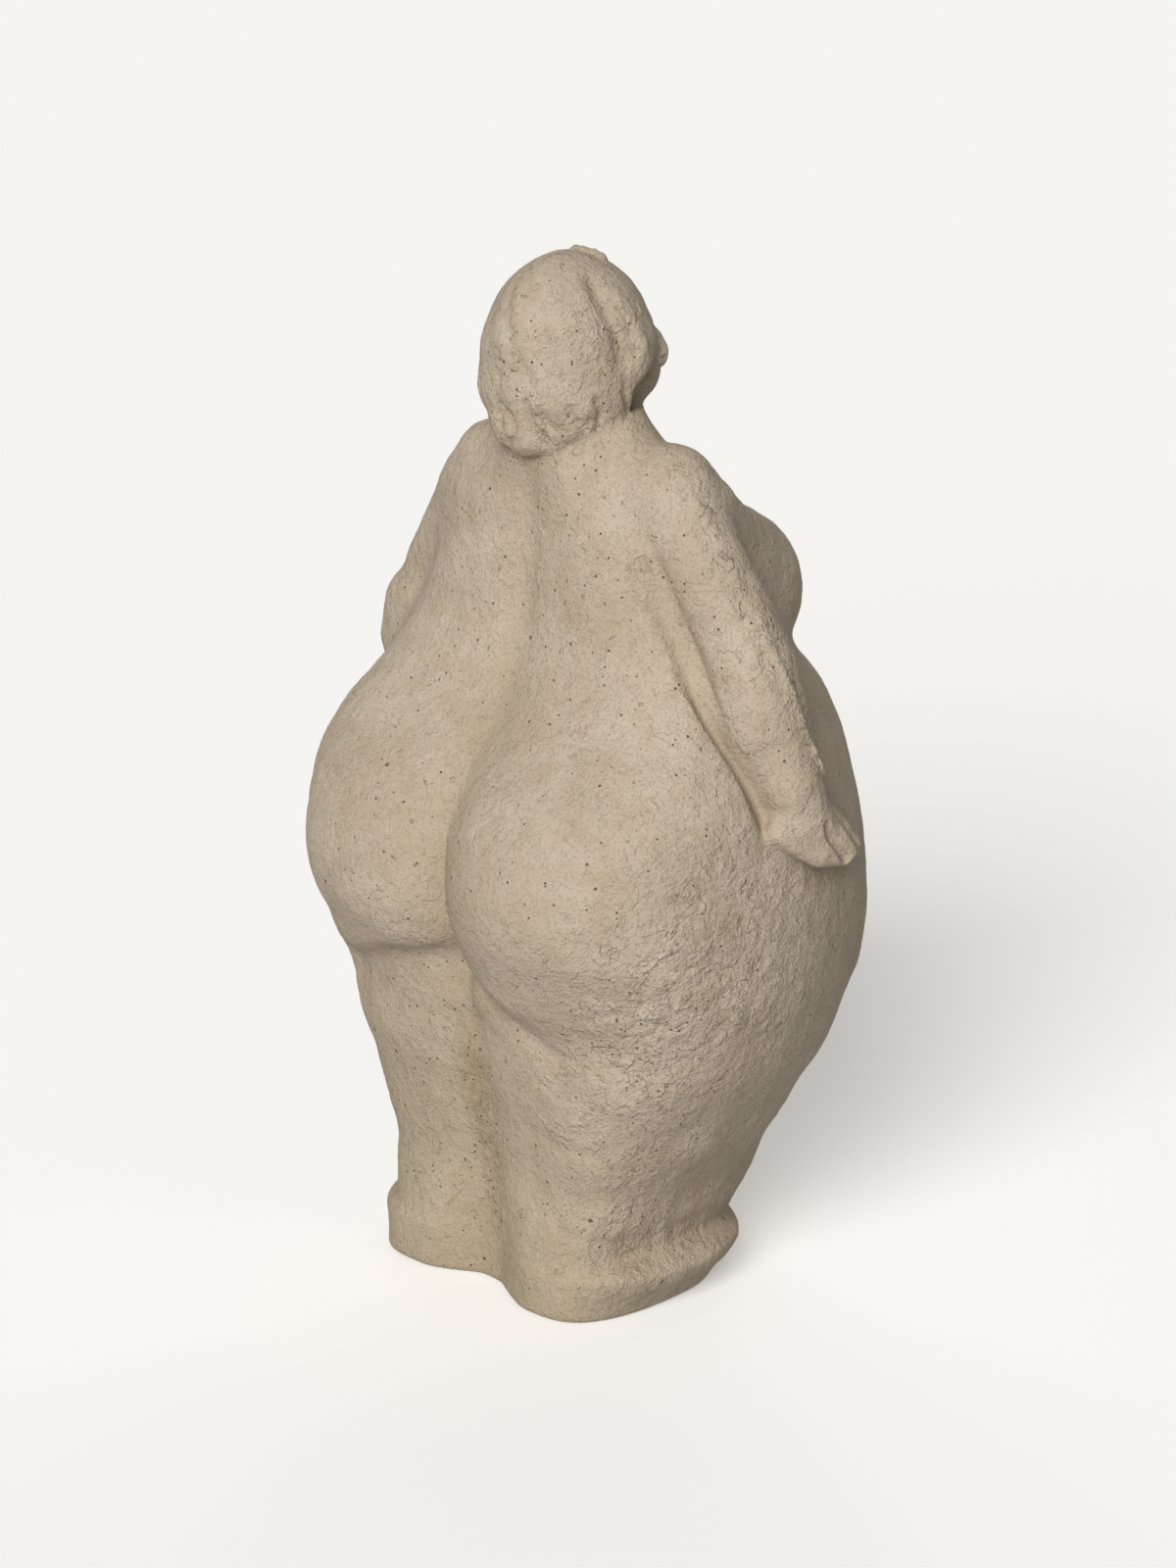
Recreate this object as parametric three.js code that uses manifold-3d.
import * as THREE from "three";
import { mergeVertices } from "three/addons/utils/BufferGeometryUtils.js";
import Module from "manifold-3d";

// A standing, full-bodied woman, hand-modelled in clay and cast as one piece with a flat underside.
// Millimetres, +Z up, facing -Y, her right hand on -X. The origin is on the ground, in the middle of her
// outline. The masses are laid out in units of a 29th of her height, about a line down through the neck.

const height = 300;
const unit = height / 29;
const cellSize = { body: 6.8, fine: 4.2 };

const clay = new THREE.MeshStandardMaterial({ color: 0xbfae9a, roughness: 0.92, metalness: 0 });

// Columns are lists of level sections: height, then centre x and y, half width, reach to the front and to the
// back, and squareness (2 is an ellipse).
const trunk = [
  [3.4, 0, 0, 3.4, 2.6, 1.8, 2.2],
  [4.6, 0, 0, 4.8, 4.4, 2.9, 2.4],
  [5.7, 0, 0, 5.8, 5.8, 3.5, 2.4],
  [6.9, 0, 0, 6.5, 6.9, 4.0, 2.4],
  [8.0, 0, 0, 6.85, 7.4, 4.5, 2.5],
  [9.1, 0, 0, 7.35, 7.8, 5.4, 2.6],
  [10.3, 0, 0, 7.6, 7.9, 6.1, 2.5],
  [11.4, 0, 0, 7.7, 7.8, 6.7, 2.5],
  [12.5, 0, 0, 7.7, 7.6, 6.8, 2.6],
  [13.7, 0, 0, 7.6, 7.3, 6.4, 2.8],
  [14.8, 0, 0, 7.4, 7.0, 5.6, 3.2],
  [15.9, 0, 0, 7.0, 6.8, 4.6, 3.4],
  [17.0, 0, 0, 6.3, 6.4, 3.6, 3.4],
  [18.5, 0, 0, 5.4, 4.7, 2.9, 3.0],
  [20.7, 0, 0, 4.5, 3.0, 2.6, 2.8],
  [22.5, 0, 0.2, 3.7, 2.4, 2.3, 2.4],
  [23.7, 0, 0.4, 2.4, 1.8, 1.9, 2.0],
  [24.7, 0, 0.5, 1.7, 1.4, 1.5, 2.0],
];
const leg = [
  [-2.0, 2.2, 0.2, 2.1, 3.0, 3.5, 3],
  [0.6, 2.2, 0.2, 2.1, 3.0, 3.5, 3],
  [1.8, 2.2, 0.2, 2.3, 3.2, 3.6, 3],
  [2.4, 2.2, 0.2, 2.4, 3.6, 3.65, 3],
  [3.5, 2.2, 0.1, 2.5, 4.6, 3.8, 3],
  [4.6, 2.35, 0.0, 2.95, 4.7, 4.0, 3],
  [5.7, 2.55, 0.0, 3.2, 5.0, 4.15, 2.8],
  [8.0, 3.0, 0.0, 3.6, 4.8, 4.4, 2.5],
  [10.5, 3.0, 0.0, 2.6, 3.0, 3.0, 2],
];
const foot = [
  [-1.8, 2.4, 0.2, 2.25, 3.5, 3.5, 2.6],
  [0.3, 2.4, 0.2, 2.3, 3.6, 3.6, 2.6],
  [1.2, 2.4, 0.2, 2.5, 3.8, 3.75, 2.6],
  [2.0, 2.4, 0.2, 2.35, 3.3, 3.6, 2.6],
  [2.6, 2.3, 0.2, 1.5, 2.0, 2.6, 2.2],
];
// Towards the ground both legs lean to her left, and her left foot stands a little further back.
const stance = { lean: 0.6, step: 0.35, below: 8 };

// Pairs: x is the distance from the middle line, and the other side is its mirror image.
const breast = { at: [2.25, -2.6, 19.55], radii: [2.15, 2.6, 2.7] };
const yoke = { from: [0, 0.8, 23.9], to: [3.25, 0.3, 22.65], radii: [1.8, 1.15] };

const arm = {
  route: [
    [3.2, 0.3, 22.9],
    [4.65, 0.3, 20.9],
    [6.15, 0.1, 18.6],
    [6.65, 0.0, 16.9],
    [7.1, -0.4, 15.3],
    [7.5, -0.7, 14.3],
  ],
  radii: [1.3, 1.0, 1.2, 1.2, 0.95, 0.75],
};
// The hands lie back flat on the hips, palms in: [x, y, z] at the wrist and at each fingertip.
const palm = { from: [7.45, -0.6, 14.6], to: [7.9, -1.0, 13.7], radii: [0.75, 0.7] };
const fingertips = [[8.3, -1.75, 13.5], [8.35, -1.45, 13.2], [8.3, -1.1, 12.95], [8.15, -0.75, 12.85]];
const fingerRadii = [0.42, 0.3];

// The furrow down the middle of the back: [height, depth, spread to each side, roundness at the bottom].
const furrow = [
  [6.0, 0.1, 0.6, 0.3],
  [8.0, 0.35, 0.7, 0.2],
  [9.2, 0.8, 1.0, 0.1],
  [10.3, 1.2, 1.2, 0.1],
  [11.5, 1.35, 1.3, 0.1],
  [13.0, 1.25, 1.3, 0.1],
  [14.5, 0.8, 1.2, 0.2],
  [16.0, 0.5, 0.9, 0.4],
  [20.0, 0.4, 0.7, 0.5],
  [23.0, 0.3, 0.6, 0.5],
  [25.0, 0.0, 0.6, 0.5],
];

// Soft channels behind the arms and under the seat, each along a route.
const armChannel = {
  route: [
    [4.2, 1.7, 20.8],
    [5.0, 1.7, 19.4],
    [5.8, 1.7, 18.0],
    [6.4, 1.6, 16.5],
    [7.1, 1.3, 15.2],
    [7.6, 0.8, 14.2],
  ],
  radii: [0.2, 0.45, 0.5, 0.45, 0.35, 0.2],
};
const leftFold = {
  route: [[0.2, 5.0, 9.9], [1.8, 5.4, 9.5], [3.6, 5.1, 9.0], [5.0, 4.4, 8.7]],
  radii: [0.4, 0.5, 0.35, 0.15],
};
const rightFold = {
  route: [[-0.8, 5.2, 9.4], [-2.2, 5.1, 8.5], [-3.6, 4.8, 7.7]],
  radii: [0.25, 0.25, 0.1],
};

const skull = { at: [0, 0.55, 26.5], radii: [2.0, 2.25, 2.35] };
const jaw = { at: [0, 0.1, 25.4], radii: [1.65, 1.8, 1.3] };
// The hair is a thick cap that ends at a slanting edge beside the face, with rough curls under it.
const hairCap = { at: [0, 0.85, 26.5], radii: [2.2, 2.35, 2.4] };
const hairSkirt = { at: [0, 1.0, 25.3], radii: [2.15, 2.05, 1.25] };
const hairEdge = { at: [0, 0.2, 24.6], facing: [0, 0.88, 0.48] };
const curls = [
  { at: [-1.95, 1.2, 24.9], radii: [0.5, 0.6, 0.6] },
  { at: [-1.4, 2.1, 24.6], radii: [0.65, 0.55, 0.65] },
  { at: [-0.1, 2.65, 24.3], radii: [0.75, 0.5, 0.65] },
  { at: [1.2, 2.3, 24.4], radii: [0.65, 0.55, 0.6] },
  { at: [2.0, 1.3, 24.8], radii: [0.5, 0.6, 0.6] },
  { at: [-1.65, -0.8, 26.3], radii: [0.4, 0.5, 0.5] },
  { at: [1.65, -0.8, 26.3], radii: [0.4, 0.5, 0.5] },
  { at: [-0.35, 0.45, 28.7], radii: [0.5, 0.5, 0.3] },
];
const navel = { at: [0, -7.9, 12.0], radii: [0.22, 0.5, 0.3] };

// Signed distances to a form at (x, y, z), in units: negative inside the clay.
function ellipsoid({ at, radii }) {
  const [cx, cy, cz] = at;
  const [rx, ry, rz] = radii;
  return (x, y, z) => {
    const [dx, dy, dz] = [(x - cx) / rx, (y - cy) / ry, (z - cz) / rz];
    const near = Math.hypot(dx, dy, dz);
    const slope = Math.hypot(dx / rx, dy / ry, dz / rz);
    return slope > 0 ? (near * (near - 1)) / slope : -Math.min(rx, ry, rz);
  };
}

function taper({ from, to, radii }) {
  const [ax, ay, az] = from;
  const [bx, by, bz] = [to[0] - ax, to[1] - ay, to[2] - az];
  const span = bx * bx + by * by + bz * bz;
  return (x, y, z) => {
    const [px, py, pz] = [x - ax, y - ay, z - az];
    const along = Math.min(1, Math.max(0, (px * bx + py * by + pz * bz) / span));
    const away = Math.hypot(px - along * bx, py - along * by, pz - along * bz);
    return away - radii[0] - along * (radii[1] - radii[0]);
  };
}

// A limb follows a smooth curve through its route, and its radius changes smoothly along it.
function limb({ route, radii }, steps = 12) {
  const line = new THREE.CatmullRomCurve3(route.map((p) => new THREE.Vector3(...p)), false, "centripetal");
  const girth = new THREE.CatmullRomCurve3(radii.map((r, i) => new THREE.Vector3(i, r, 0)));
  const points = Array.from({ length: steps + 1 }, (_, i) => line.getPoint(i / steps).toArray());
  const girths = Array.from({ length: steps + 1 }, (_, i) => girth.getPoint(i / steps).y);
  const pieces = points.slice(1).map((to, i) => {
    return taper({ from: points[i], to, radii: [girths[i], girths[i + 1]] });
  });
  return (x, y, z) => {
    let nearest = Infinity;
    for (const piece of pieces) nearest = Math.min(nearest, piece(x, y, z));
    return nearest;
  };
}

// Smooth values between rows that start with their height; each is held past its ends.
function eased(rows) {
  const heights = rows.map((row) => row[0]);
  const last = rows.length - 1;
  const slope = (i, c) => {
    const [low, high] = [Math.max(0, i - 1), Math.min(last, i + 1)];
    return (rows[high][c] - rows[low][c]) / (heights[high] - heights[low]);
  };
  return (z) => {
    const level = Math.min(heights[last], Math.max(heights[0], z));
    const n = Math.max(0, Math.min(last - 1, heights.findLastIndex((h) => h <= level)));
    const span = heights[n + 1] - heights[n];
    const t = (level - heights[n]) / span;
    const [t2, t3] = [t * t, t * t * t];
    return rows[0].slice(1).map((_, i) =>
      (2 * t3 - 3 * t2 + 1) * rows[n][i + 1] + (t3 - 2 * t2 + t) * span * slope(n, i + 1)
      + (3 * t2 - 2 * t3) * rows[n + 1][i + 1] + (t3 - t2) * span * slope(n + 1, i + 1));
  };
}

function column(sections) {
  const section = eased(sections);
  const [low, high] = [sections[0][0], sections.at(-1)[0]];
  return (x, y, z) => {
    const beyond = Math.max(z - high, low - z);
    const [cx, cy, rx, front, back, backSquare] = section(z);
    const [ry, square] = y < cy ? [front, 2] : [back, backSquare];
    const [dx, dy] = [Math.abs(x - cx) / rx, Math.abs(y - cy) / ry];
    const near = (dx ** square + dy ** square) ** (1 / square);
    if (near < 0.05) return Math.max(-Math.min(rx, ry), beyond);
    const slope = Math.hypot((dx / near) ** (square - 1) / rx, (dy / near) ** (square - 1) / ry);
    return Math.max((near - 1) / slope, beyond);
  };
}

// Joins forms with a fillet about as wide as reach.
function join(reach, ...forms) {
  return (x, y, z) => {
    let [joined, ...rest] = forms.map((form) => form(x, y, z));
    for (const next of rest) {
      const overlap = Math.max(reach - Math.abs(joined - next), 0) / reach;
      joined = Math.min(joined, next) - (overlap * overlap * reach) / 4;
    }
    return joined;
  };
}

// Cuts a form out of another, with a rounded lip.
function carve(reach, form, cutter) {
  const kept = join(reach, (x, y, z) => -form(x, y, z), cutter);
  return (x, y, z) => -kept(x, y, z);
}

const mirrored = (form) => (x, y, z) => form(Math.abs(x), y, z);

function womanForm() {
  const furrowAt = eased(furrow);
  const torso = join(0.6, column(trunk), mirrored(taper(yoke)));
  const back = (x, y, z) => {
    const [depth, spread, roundness] = furrowAt(z);
    const aside = Math.hypot(x, roundness) - roundness;
    return torso(x, y, z) + depth * Math.exp(-aside / spread) * Math.min(1, Math.max(0, y / 1.5));
  };
  const pair = mirrored(join(0.4, column(leg), column(foot)));
  const legs = (x, y, z) => {
    const drop = Math.max(0, 1 - z / stance.below);
    const left = Math.min(1, Math.max(0, 0.5 + x / 1.5));
    return pair(x - stance.lean * drop, y - stance.step * left * drop, z);
  };
  const stood = join(0.8, back, legs);
  const chest = carve(0.3, join(0.7, stood, mirrored(ellipsoid(breast))), ellipsoid(navel));
  const folded = carve(0.8, carve(0.8, chest, limb(leftFold)), limb(rightFold));
  const channelled = carve(1.0, folded, mirrored(limb(armChannel)));
  const fingers = fingertips.map((tip) => taper({ from: palm.to, to: tip, radii: fingerRadii }));
  const arms = mirrored(join(0.3, limb(arm), taper(palm), join(0.1, ...fingers)));
  const armed = join(0.6, channelled, arms);
  const [ex, ey, ez] = hairEdge.at;
  const [fx, fy, fz] = hairEdge.facing;
  const front = (x, y, z) => (x - ex) * fx + (y - ey) * fy + (z - ez) * fz;
  const mass = join(0.6, ellipsoid(hairCap), ellipsoid(hairSkirt));
  const hair = join(0.5, carve(0.3, mass, front), ...curls.map(ellipsoid));
  const head = join(0.5, ellipsoid(skull), ellipsoid(jaw));
  return join(0.25, join(0.4, armed, head), hair);
}

// Grid lines from low to high, closer together inside the fine bands.
function gridLines(low, high, fineBands) {
  const lines = [low];
  while (lines.at(-1) < high) {
    const at = lines.at(-1);
    const fine = fineBands.some(([from, to]) => at >= from && at < to);
    lines.push(at + (fine ? cellSize.fine : cellSize.body) / unit);
  }
  return lines;
}

// Nets the zero level of a form: a vertex for every patch of surface in a grid cell, and a quad round every
// grid edge that the surface crosses.
function netOf(form, [xs, ys, zs]) {
  const index = (i, j, k) => (k * ys.length + j) * xs.length + i;
  const field = new Float32Array(xs.length * ys.length * zs.length);
  zs.forEach((z, k) => ys.forEach((y, j) => xs.forEach((x, i) => {
    field[index(i, j, k)] = form(x, y, z);
  })));
  const corners = [0, 1, 2, 3, 4, 5, 6, 7].map((c) => [c & 1, (c >> 1) & 1, c >> 2]);
  const edges = corners.flatMap((corner, c) =>
    [0, 1, 2].filter((d) => !corner[d]).map((d) => ({ from: c, to: c + 2 ** d, d })));
  const faces = [0, 1, 2].flatMap((d) => [0, 1].map((side) =>
    edges.filter((edge) => edge.d !== d && corners[edge.from][d] === side)));
  const rings = new Map();
  const vertices = [];
  for (let k = 0; k < zs.length - 1; k++) {
    for (let j = 0; j < ys.length - 1; j++) {
      for (let i = 0; i < xs.length - 1; i++) {
        const nodes = corners.map(([a, b, c]) => index(i + a, j + b, k + c));
        const inside = nodes.map((node) => field[node] < 0);
        if (inside.every((value) => value === inside[0])) continue;
        for (const patch of patchesOf(inside, edges, faces)) {
          const centre = new THREE.Vector3();
          for (const { from, to, d } of patch) {
            const [low, high] = [field[nodes[from]], field[nodes[to]]];
            const [a, b, c] = corners[from];
            const point = [xs[i + a], ys[j + b], zs[k + c]];
            const next = [xs[i + 1], ys[j + 1], zs[k + 1]][d];
            point[d] += (next - point[d]) * (low / (low - high));
            centre.add(new THREE.Vector3(...point));
            const key = nodes[from] * 3 + d;
            if (!rings.has(key)) rings.set(key, { outward: inside[from], ring: [] });
            const [u, v] = [corners[from][(d + 1) % 3], corners[from][(d + 2) % 3]];
            rings.get(key).ring[v ? 3 - u : u] = vertices.length;
          }
          vertices.push(centre.divideScalar(patch.length));
        }
      }
    }
  }
  const triangles = [];
  for (const { outward, ring } of rings.values()) {
    const [a, b, c, d] = outward ? ring : ring.reverse();
    const short = vertices[a].distanceTo(vertices[c]) < vertices[b].distanceTo(vertices[d]);
    triangles.push(...(short ? [a, b, c, a, c, d] : [a, b, d, b, c, d]));
  }
  return { vertices, triangles };
}

// The crossed edges of a cell, in one group for each separate patch of surface.
function patchesOf(inside, edges, faces) {
  const crossings = edges.filter(({ from, to }) => inside[from] !== inside[to]);
  const group = new Map(crossings.map((edge) => [edge, edge]));
  const tie = ([one, other]) => {
    const [old, kept] = [group.get(one), group.get(other)];
    group.forEach((value, edge) => value === old && group.set(edge, kept));
  };
  for (const face of faces) {
    const crossed = face.filter((edge) => group.has(edge));
    if (crossed.length === 2) tie(crossed);
    if (crossed.length < 4) continue;
    const solidCorners = new Set(crossed.flatMap(({ from, to }) => [from, to]).filter((c) => inside[c]));
    solidCorners.forEach((c) => tie(crossed.filter(({ from, to }) => from === c || to === c)));
  }
  const patches = new Map();
  group.forEach((label, edge) => patches.set(label, [...(patches.get(label) ?? []), edge]));
  return patches.values();
}

// Moves each vertex along the form's slope until it lies on the surface.
function settle(vertices, form, rounds = 3, step = 0.02) {
  for (const p of vertices) {
    for (let round = 0; round < rounds; round++) {
      const value = form(p.x, p.y, p.z);
      const slope = new THREE.Vector3(
        form(p.x + step, p.y, p.z) - value,
        form(p.x, p.y + step, p.z) - value,
        form(p.x, p.y, p.z + step) - value,
      ).divideScalar(step);
      p.addScaledVector(slope, -value / Math.max(slope.lengthSq(), 0.2));
    }
  }
}

const wasm = await Module();
wasm.setup();

function solidOf(geometry) {
  const bare = new THREE.BufferGeometry().setAttribute("position", geometry.getAttribute("position"));
  const merged = mergeVertices(bare.setIndex(geometry.index));
  return new wasm.Manifold(new wasm.Mesh({
    numProp: 3,
    vertProperties: merged.getAttribute("position").array,
    triVerts: new Uint32Array(merged.index.array),
  }));
}

function geometryOf(solid) {
  const { vertProperties, triVerts } = solid.getMesh();
  return new THREE.BufferGeometry()
    .setAttribute("position", new THREE.BufferAttribute(vertProperties, 3))
    .setIndex(new THREE.BufferAttribute(triVerts, 1));
}

function woman() {
  const form = womanForm();
  const lines = [
    gridLines(-10, 10, [[-9.5, -7], [-2.8, 2.8], [7, 9.5]]),
    gridLines(-10, 10, []),
    gridLines(-2.5, 30.5, [[12.2, 14.4], [23.6, 30]]),
  ];
  const { vertices, triangles } = netOf(form, lines);
  settle(vertices, form);
  const skin = new THREE.BufferGeometry().setFromPoints(vertices.map((p) => p.multiplyScalar(unit)));
  skin.setIndex(triangles);
  const ground = new THREE.BoxGeometry(height, height, height).translate(0, 0, -height / 2);
  const geometry = geometryOf(solidOf(skin).subtract(solidOf(ground)));
  geometry.computeBoundingBox();
  const middle = geometry.boundingBox.getCenter(new THREE.Vector3());
  geometry.translate(-middle.x, -middle.y, 0);
  const mesh = new THREE.Mesh(geometry, clay);
  mesh.name = "figurine";
  return mesh;
}

const figure = new THREE.Group();
figure.add(woman());

export default figure;
